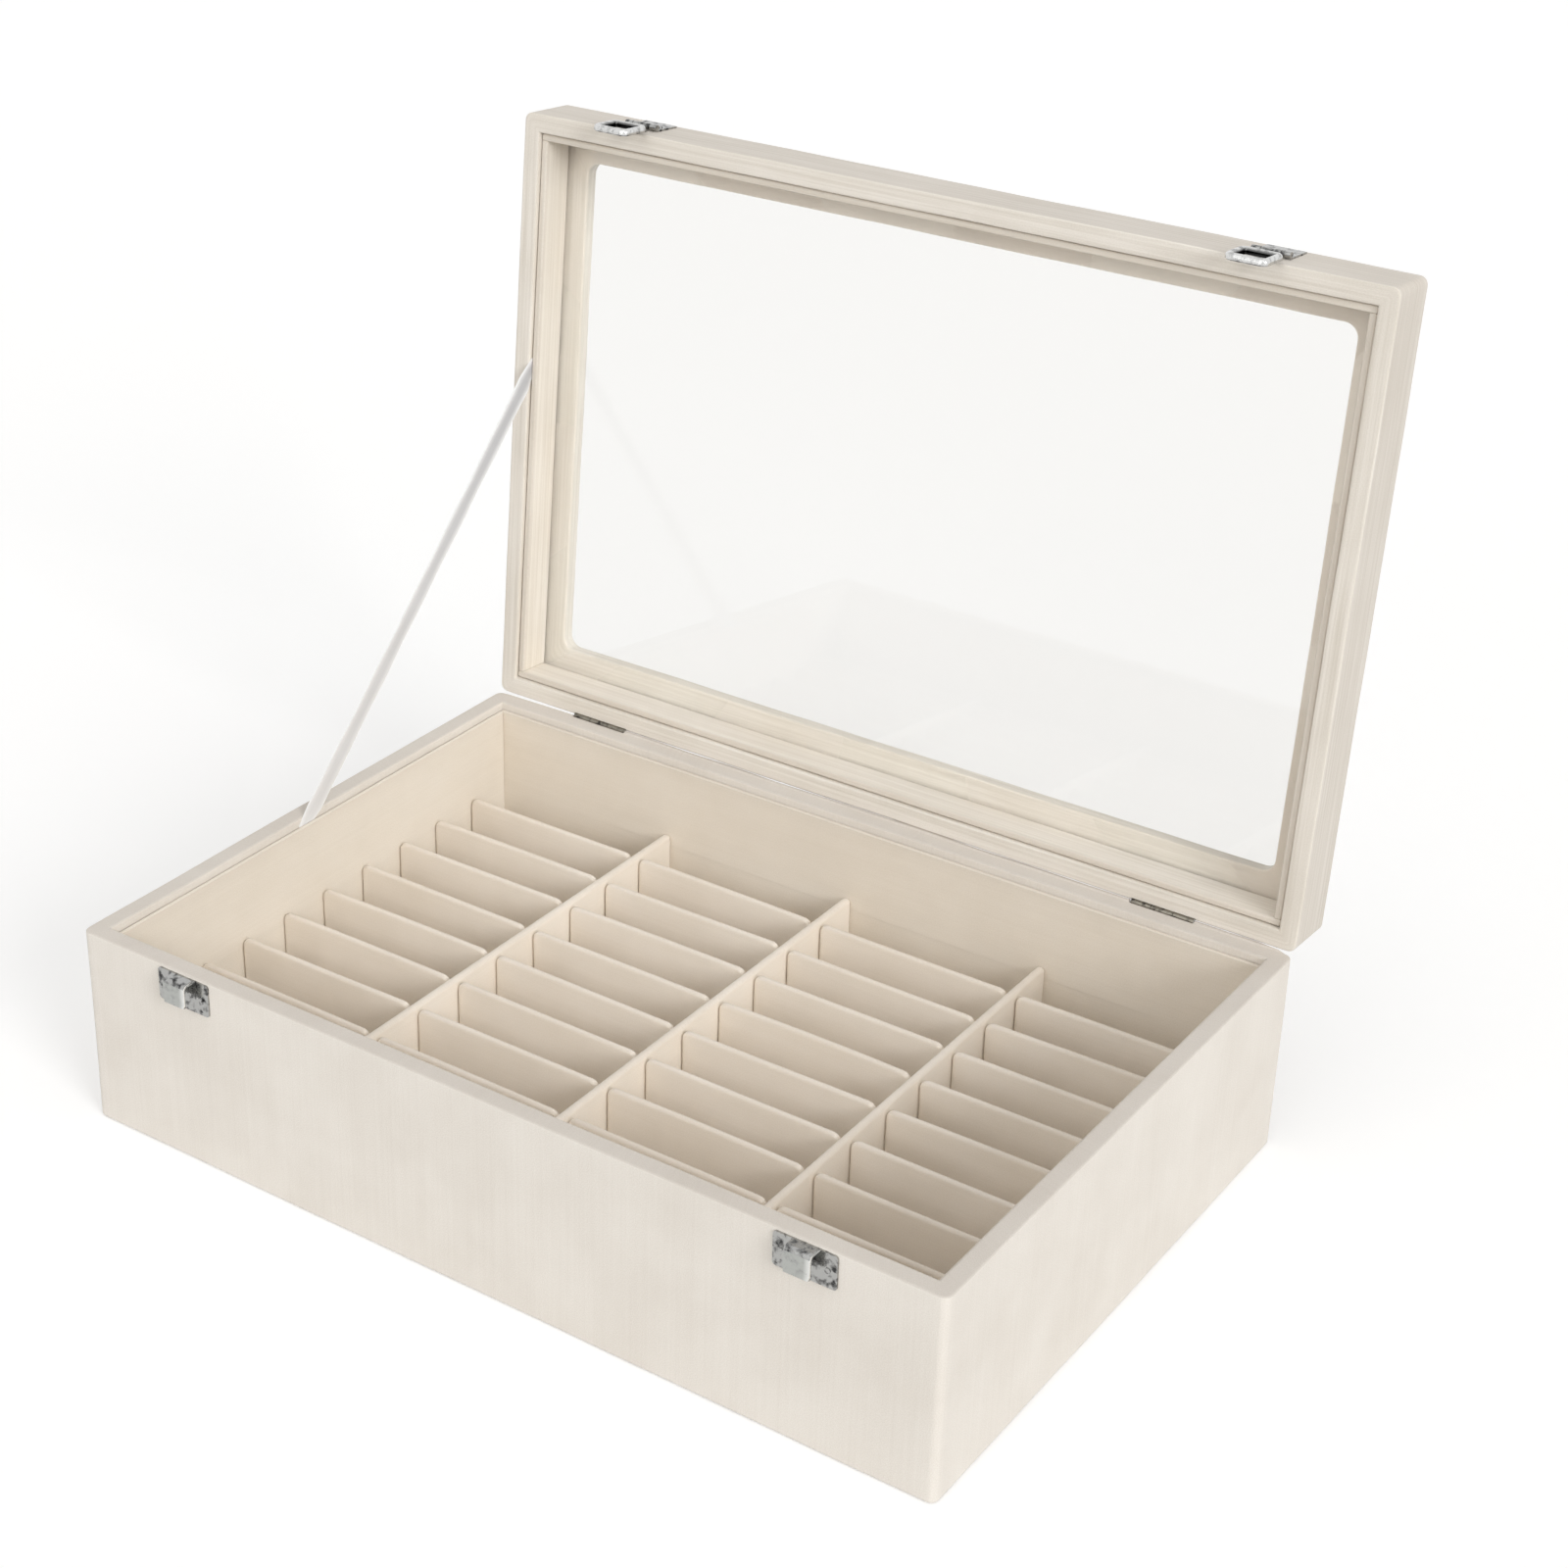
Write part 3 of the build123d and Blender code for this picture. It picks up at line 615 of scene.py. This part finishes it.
FRAME_X, FRAME_Y = BOX_X - WINDOW_X, BOX_Y - WINDOW_Y
lid_section = wall_profile([
    (WALL, WINDOW_UNDER - CLOTH, 0), (FRAME_X, WINDOW_UNDER - CLOTH, 0.5 * MM), (FRAME_X, LID_Z1, 0.7 * MM),
    (0, LID_Z1, RIM), (0, LID_Z0, RIM), (WALL, LID_Z0, RIM), (WALL, LID_END, 0),
    (WALL - CLOTH, LID_END, 0), (WALL - CLOTH, LID_Z0 + CLOTH, 0), (CLOTH, LID_Z0 + CLOTH, 0),
    (CLOTH, LID_Z1 - CLOTH, 0), (FRAME_X - CLOTH, LID_Z1 - CLOTH, 0), (FRAME_X - CLOTH, WINDOW_UNDER, 0),
    (WALL, WINDOW_UNDER, 0)])
lid_levels = inset_levels(lid_section, BOX_X, BOX_Y, CORNER)
towards_window = np.clip((lid_section[:, 0] - WALL) / (FRAME_X - WALL), 0, 1)
lid_levels[:, 1] -= towards_window * (FRAME_Y - FRAME_X)
lid_levels[:, 2] = np.maximum(lid_levels[:, 2], towards_window * WINDOW_R)
# the window frame's underside is seen through the pane, which takes some light from it; it is given
# painted light, a lighter and warmer colour
inward, height = lid_section.T
outer_face = (inward < 0.3 * MM) & (height > LID_Z0 + 0.5 * MM)
under_pane = (inward > WALL - 0.1 * MM) & (np.abs(height - WINDOW_UNDER + CLOTH) < 0.6 * MM)
# painted shadow on the lid's outer faces and a little on its rim
cover("lid_wrap", lid_levels, lid_cloth, "lid", ["lid_cloth_cover"], lengthwise=True,
      level_painted_shading=OUTER_PAINTED_SHADE * outer_face - WINDOW_PAINTED_LIGHT * under_pane, rim_painted_shade=0.05, crowd=0.0,
      open_lid=True)


# ---------------------------------------------------------------- linings, dividers and slats

X, Y, Z = np.eye(3)
# painted shadow on the top edges of the soft panels and slats
EDGE_PAINTED_SHADE = 0.16


def top_painted_shade(points, height):
    """Painted shadow along a panel's top edge: the tone rises over the last millimetre of its height."""
    return EDGE_PAINTED_SHADE * np.clip((points[..., 1] - height + 1.1 * MM) / (0.6 * MM), 0, 1)


def panel(name, size, origin, axes, material, body, replaced, top_radius=0.5 * MM, edge=0.6 * MM,
          crown=0.1 * MM, open_lid=False, seed=0):
    """One soft panel: its width and height lie along the first two axes from the middle of its foot. The
    seed moves the place in the cloth that it was cut from."""
    rng = np.random.default_rng(seed)
    points, uv = tablet(*size, top_radius, edge, crown, rng.uniform(0, 3, 2))
    tone = top_painted_shade(points, size[1])
    points = placed(points, origin, *axes)
    if open_lid:
        points = opened(points)
    return piece(name, [quad_grid(points, uv)], material, body, replaced, tone=tone)


LINER_GAP = 0.45 * MM
liner_t = LINER - LINER_GAP
liner_h = LINER_TOP - FLOOR_Z
for tag, side in (("front", -1), ("back", 1)):
    panel(f"lining_{tag}", (2 * IN_X - 2 * LINER_GAP, liner_h, liner_t),
          (0, side * (ROOM_Y + liner_t / 2), FLOOR_Z), (X, Z, Y), lining_cloth, "base",
          [f"liner_{tag}"], seed=1 + side)
for tag, side in (("left", -1), ("right", 1)):
    panel(f"lining_{tag}", (2 * ROOM_Y, liner_h, liner_t), (side * (ROOM_X + liner_t / 2), 0, FLOOR_Z),
          (Y, Z, X), lining_cloth, "base", [f"liner_{tag}"], seed=11 + side)

strip_t, strip_h = STRIP - LINER_GAP, PANE_Z - STRIP_Z0
for tag, side in (("front", -1), ("back", 1)):
    panel(f"lid_lining_{tag}", (2 * IN_X - 2 * LINER_GAP, strip_h, strip_t),
          (0, side * (IN_Y - STRIP + strip_t / 2), PANE_Z), (X, -Z, Y), strip_cloth, "lid",
          [f"lid_liner_{tag}"], open_lid=True, seed=21 + side)
for tag, side in (("left", -1), ("right", 1)):
    panel(f"lid_lining_{tag}", (2 * (IN_Y - STRIP), strip_h, strip_t),
          (side * (IN_X - STRIP + strip_t / 2), 0, PANE_Z), (Y, -Z, X), strip_cloth, "lid",
          [f"lid_liner_{tag}"], open_lid=True, seed=31 + side)

divider_low, divider_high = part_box("long_divider_middle")
divider_t = divider_high.x - divider_low.x
divider_top = divider_high.z
column = (2 * ROOM_X - 3 * divider_t) / 4
for k, tag in enumerate(("left", "middle", "right")):
    panel(f"divider_{tag}", (divider_high.y - divider_low.y, divider_top - FLOOR_Z, divider_t),
          ((k - 1) * (column + divider_t), 0, FLOOR_Z), (Y, Z, X), divider_cloth, "base",
          [f"long_divider_{tag}"], top_radius=2.0 * MM, edge=1.2 * MM, crown=0.05 * MM, seed=41 + k)

slat_low, slat_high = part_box("slats_column_1")
SLATS = 9
slat_t = 2.4 * MM
slat_w, slat_h = slat_high.x - slat_low.x, slat_high.z - slat_low.z
slat_ys = np.linspace(slat_high.y - slat_t / 2, slat_low.y + slat_t / 2, SLATS)
for k in range(4):
    rng = np.random.default_rng(60 + k)
    middle = (k - 1.5) * (column + divider_t)
    grids, tones = [], []
    for y in slat_ys:
        points, uv = tablet(slat_w, slat_h, slat_t, top_radius=3.4 * MM, edge=1.1 * MM, crown=0.05 * MM,
                            uv_start=rng.uniform(0, 3, 2))
        up, across = points[..., 1] / slat_h, points[..., 0] / (slat_w / 2)
        tones.append(top_painted_shade(points, slat_h))
        lean, twist, bow = rng.normal(0, 0.22 * MM), rng.normal(0, 0.12 * MM), rng.normal(0, 0.25 * MM)
        points[..., 2] += up * (lean + twist * across + bow * (1 - across ** 2))
        points[..., 1] += up * rng.normal(0, 0.12 * MM) * across
        grids.append(quad_grid(placed(points, (middle, y, slat_low.z), X, Z, Y), uv))
    piece(f"slats_{k + 1}", grids, divider_cloth, "base", [f"slats_column_{k + 1}"],
          tone=np.stack(tones))
    panel(f"pad_{k + 1}", (column, 2 * ROOM_Y, 1.4 * MM), (middle, -ROOM_Y, FLOOR_Z + 0.7 * MM), (X, Y, Z),
          lining_cloth, "base", [f"floor_pad_{k + 1}"], edge=0.5 * MM, seed=71 + k)


# ---------------------------------------------------------------- latches

def latch_ring(x):
    """The stamped frame of a latch ring on the shut lid: rounded rectangles at growing and falling height
    above its plane carry a soft-edged cross-section round the window; painted shadow darkens the outer
    foot a little and takes the walls inside the window fully."""
    levels = np.array([
        (7.0, 6.8, 2.2, -0.35), (7.85, 7.25, 2.8, -0.05), (7.85, 7.25, 2.8, 1.0), (7.6, 7.0, 2.6, 1.6),
        (7.1, 6.5, 2.2, 2.0), (6.4, 6.0, 1.6, 2.1), (5.8, 5.45, 1.0, 1.9), (5.4, 5.1, 0.7, 1.5),
        (5.25, 4.95, 0.6, 0.9), (5.25, 4.95, 0.6, -0.35)]) * MM
    rings = ring_points(*levels[:, :3].T, arc_steps=6, side_steps=5)
    middle = BOX_H - 5.8 * MM
    points = np.stack([x + rings[..., 0], np.broadcast_to(RING_Y - levels[:, 3][:, None], rings.shape[:2]),
                       middle + rings[..., 1]], -1)
    around = running_length(np.concatenate([rings[0], rings[0, :1]]))
    s, t = np.meshgrid(around, running_length(np.concatenate([levels[:, [0, 3]], levels[:1, [0, 3]]])))
    # painted shadow over the levels: a little at the foot, full on the walls inside the window
    tone = np.array([0.3, 0.1, 0, 0, 0, 0, 0.1, 0.75, 1, 1])[:, None] * np.ones(rings.shape[:2])
    return opened(points), np.stack([s, t], -1), tone


def catch_tongue(x):
    """The sprung tongue of a catch: a soft-edged strip carried out from the plate, round a quarter bend and
    down, with a slight outward flare; its ends close on the strip's middle line."""
    out, top, low, bend = BOX_Y + 5.05 * MM, BOX_H - 1.7 * MM, BOX_H - 10.1 * MM, 1.5 * MM
    turn = np.radians(np.linspace(0, 90, 7))
    line = np.concatenate([
        [(-BOX_Y - 0.4 * MM, top), (-BOX_Y - 2.2 * MM, top)],
        np.stack([-out + bend - bend * np.sin(turn), top - bend + bend * np.cos(turn)], -1),
        [(-out, top - 4 * MM), (-out, low + 1.5 * MM), (-out - 0.25 * MM, low)]])
    along = np.gradient(line, axis=0)
    along /= np.linalg.norm(along, axis=1)[:, None]
    normal = np.stack([along[:, 1], -along[:, 0]], -1)
    loop = np.array([(-1, -0.5), (-0.97, -1), (-0.5, -1), (0.5, -1), (0.97, -1), (1, -0.5), (1, 0.5),
                     (0.97, 1), (0.5, 1), (-0.5, 1), (-0.97, 1), (-1, 0.5)])
    half = np.full(len(line), 4.9) * MM
    half[-1] *= 0.9
    line, normal = (np.concatenate([rows[:1], rows, rows[-1:]]) for rows in (line, normal))
    closing = np.concatenate([[0.01], np.ones(len(half)), [0.01]])
    half = np.concatenate([half[:1], half, half[-1:]])
    yz = line[:, None, :] + normal[:, None, :] * (loop[None, :, 1, None] * 0.5 * MM * closing[:, None, None])
    across = x + loop[None, :, 0] * half[:, None] * closing[:, None]
    points = np.concatenate([across[..., None], yz], -1)
    round_loop = np.append(loop[:, 0], -1)[None, :] * 5 * MM
    uv = np.stack(np.broadcast_arrays(running_length(line)[:, None], round_loop), -1)
    # painted highlight: the last tenth of the tongue's width, on its right, takes the near-white colour
    edge = np.clip((loop[None, :, 0] - 0.9) / 0.1, 0, 1) * np.ones(len(line))[:, None]
    return points, uv, edge


for tag, side in (("left", -1), ("right", 1)):
    ring_shape, ring_uv, ring_painted_shade = latch_ring(side * LATCH_X)
    piece(f"ring_frame_{tag}", [quad_grid(ring_shape, ring_uv, closed_rows=True)], ring_metal, f"hasp_{tag}",
          tone=ring_painted_shade)
    tongue_shape, tongue_uv, tongue_highlight = catch_tongue(side * LATCH_X)
    piece(f"tongue_{tag}", [quad_grid(tongue_shape, tongue_uv)], tongue_metal, "base",
          tone=tongue_highlight)


# ---------------------------------------------------------------- ribbon

# how far each end is tucked in, the run in which the strip turns, and where it enters the two slots
TUCK, TURN = 11 * MM, 9 * MM
RIBBON_FOOT_Y, RIBBON_HEAD_Y = -8.5 * MM, -18.5 * MM


def ribbon_strip():
    """The stay ribbon: its middle line runs from the slot in the base lining straight to the slot in the
    lid lining; the cross direction turns smoothly from one slot's line through the square of the run to the
    other's. Two faces 0.36 mm apart and two woven edges close round it, and the middle has painted shadow,
    darkest there and more so towards the lid."""
    foot = np.array([RIBBON_FOOT_Y, LINER_TOP])
    head = opened(np.array([0, RIBBON_HEAD_Y, STRIP_Z0]))[1:]
    lid_across, lid_up = (opened(axis) - opened(np.zeros(3)) for axis in (Y, Z))
    lid_across, lid_up = lid_across[1:], lid_up[1:]
    run = (head - foot) / np.linalg.norm(head - foot)
    square = np.array([run[1], -run[0]])
    tuck = np.linspace(TUCK, 0, 6)[:, None]
    share = np.linspace(0, 1, 60)[1:-1, None]
    line = np.concatenate([foot - np.array([0, 1]) * tuck, foot + (head - foot) * share,
                           head + lid_up * tuck[::-1]])
    where = running_length(line)
    near_foot = np.clip((where - TUCK) / TURN, 0, 1)[:, None]
    near_head = np.clip((where[-1] - TUCK - where) / TURN, 0, 1)[:, None]
    near_foot, near_head = near_foot ** 2 * (3 - 2 * near_foot), near_head ** 2 * (3 - 2 * near_head)
    cross = (np.array([1.0, 0]) * (1 - near_foot) + square * near_foot * near_head
             + lid_across * (1 - near_head))
    cross /= np.linalg.norm(cross, axis=1)[:, None]
    half = (3.7 + 0.9 * np.abs(np.linspace(-1, 1, len(line)))[:, None] ** 3) * MM
    half_loop = np.array([(-1, -1), (-0.985, -0.7), (-0.9, -1), (-0.6, -1), (-0.3, -1), (0, -1), (0.3, -1),
                          (0.6, -1), (0.9, -1), (0.985, -0.7), (1, -1)])
    loop = np.concatenate([half_loop, -half_loop])
    thick = 0.18 * MM
    ripple = 0.12 * MM * np.sin(where * 190)[:, None] * (near_foot * near_head)
    x = -IN_X + 0.2 * MM + loop[None, :, 1] * thick + ripple * np.sin(loop[None, :, 0] * 2)
    yz = line[:, None, :] + cross[:, None, :] * (loop[None, :, 0] * half)[..., None]
    points = np.concatenate([x[..., None], yz], -1)
    around = np.concatenate([loop[:, 0], loop[:1, 0]]) * 4 * MM
    uv = np.stack(np.broadcast_arrays(where[:, None], around[None, :]), -1)
    upwards = np.clip(where / where[-1], 0, 1)[:, None]
    # painted shadow down the middle, stronger towards the lid
    tone = (0.25 + 0.75 * upwards) * np.clip(1.7 - 1.7 * np.abs(loop[None, :, 0]), 0, 1)
    return points, uv, tone, foot, head


ribbon_points, ribbon_uv, ribbon_painted_shade, ribbon_foot, ribbon_head = ribbon_strip()
ribbon = piece("ribbon", [quad_grid(ribbon_points, ribbon_uv)], ribbon_white, None,
               ["stay_ribbon"], tone=ribbon_painted_shade)
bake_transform(ribbon)


# ---------------------------------------------------------------- floor, lights, camera

def shown_white(tree):
    """1 for the rays of the camera and of reflections and glass, 0 for the rays that light the box."""
    path = node(tree, "LightPath").outputs
    bent = math(tree, "MAXIMUM", path["Is Glossy Ray"], path["Is Transmission Ray"])
    return math(tree, "MAXIMUM", path["Is Camera Ray"], bent)


def floor_plane(glow_strength):
    """A wide pale floor, white where lit, which keeps the box's shadow."""
    mesh = bpy.data.meshes.new("floor")
    mesh.from_pydata([(-8, -8, 0), (8, -8, 0), (8, 8, 0), (-8, 8, 0)], [], [(0, 1, 2, 3)])
    floor = bpy.data.objects.new("floor", mesh)
    floor.location.z = -0.0002
    bpy.context.scene.collection.objects.link(floor)
    material, tree, shader = surface("floor_white", Roughness=0.9, Specular_IOR_Level=0.0)
    shader.inputs["Base Color"].default_value = (0.80, 0.80, 0.80, 1)
    strength = math(tree, "MULTIPLY", shown_white(tree), glow_strength)
    glow = node(tree, "Emission", {"Color": (1, 1, 1, 1), "Strength": strength})
    both = node(tree, "AddShader", {0: shader.outputs[0], 1: glow.outputs[0]})
    tree.links.new(both.outputs[0], tree.nodes["Material Output"].inputs["Surface"])
    mesh.materials.append(material)


def white_world(strength):
    """White to the camera and in reflections, a soft fill, stronger from above, to everything else."""
    world = bpy.data.worlds.new("studio")
    bpy.context.scene.world = world
    world.use_nodes = True
    tree = world.node_tree
    fill = tree.nodes["Background"]
    fill.inputs["Color"].default_value = (1.0, 0.99, 0.975, 1)
    up = node(tree, "SeparateXYZ", {0: node(tree, "TexCoord").outputs["Generated"]}).outputs["Z"]
    level = math(tree, "ADD", 0.5, math(tree, "MULTIPLY", up, 0.42))
    tree.links.new(math(tree, "MULTIPLY", level, strength), fill.inputs["Strength"])
    white = node(tree, "Background", {"Color": (1, 1, 1, 1), "Strength": 1.0})
    mix = node(tree, "MixShader", {0: shown_white(tree), 1: fill.outputs[0], 2: white.outputs[0]})
    tree.links.new(mix.outputs[0], tree.nodes["World Output"].inputs["Surface"])


def sun(name, direction, strength, spread):
    """A soft distant lamp that shines from the given direction."""
    lamp = bpy.data.lights.new(name, "SUN")
    lamp.energy = strength
    lamp.angle = radians(spread)
    made = bpy.data.objects.new(name, lamp)
    made.rotation_euler = Vector(direction).to_track_quat("Z", "Y").to_euler()
    bpy.context.scene.collection.objects.link(made)


def photo_camera():
    """The camera that was fitted to the photograph: its place, its three axes, its lens and its shift."""
    camera = bpy.data.cameras.new("camera")
    camera.sensor_width = 36.0
    camera.lens = 67.147
    camera.shift_x, camera.shift_y = 0.08625, -0.03625
    camera.clip_start, camera.clip_end = 0.05, 60
    made = bpy.data.objects.new("camera", camera)
    azimuth, elevation, roll = np.radians([35.3606, 26.8828, -0.5286])
    level = np.cos(elevation)
    forward = np.array([-np.sin(azimuth) * level, np.cos(azimuth) * level, -np.sin(elevation)])
    right = np.cross(forward, (0, 0, 1))
    right /= np.linalg.norm(right)
    down = np.cross(forward, right)
    turned_right = np.cos(roll) * right + np.sin(roll) * down
    turned_down = -np.sin(roll) * right + np.cos(roll) * down
    axes = Matrix(np.stack([turned_right, -turned_down, -forward], 1).tolist())
    made.matrix_world = Matrix.Translation((0.49553, -0.72144, 0.60533)) @ axes.to_4x4()
    bpy.context.scene.collection.objects.link(made)
    bpy.context.scene.camera = made


floor_plane(glow_strength=0.29)
white_world(0.77)
sun("key_lamp", (0.85, -0.35, 0.40), 1.38, 25)
sun("front_lamp", (-0.05, -0.90, 0.28), 0.345, 40)
sun("high_lamp", (0.10, -0.60, 0.80), 0.38, 60)
photo_camera()
bpy.context.scene.view_settings.view_transform = "Standard"
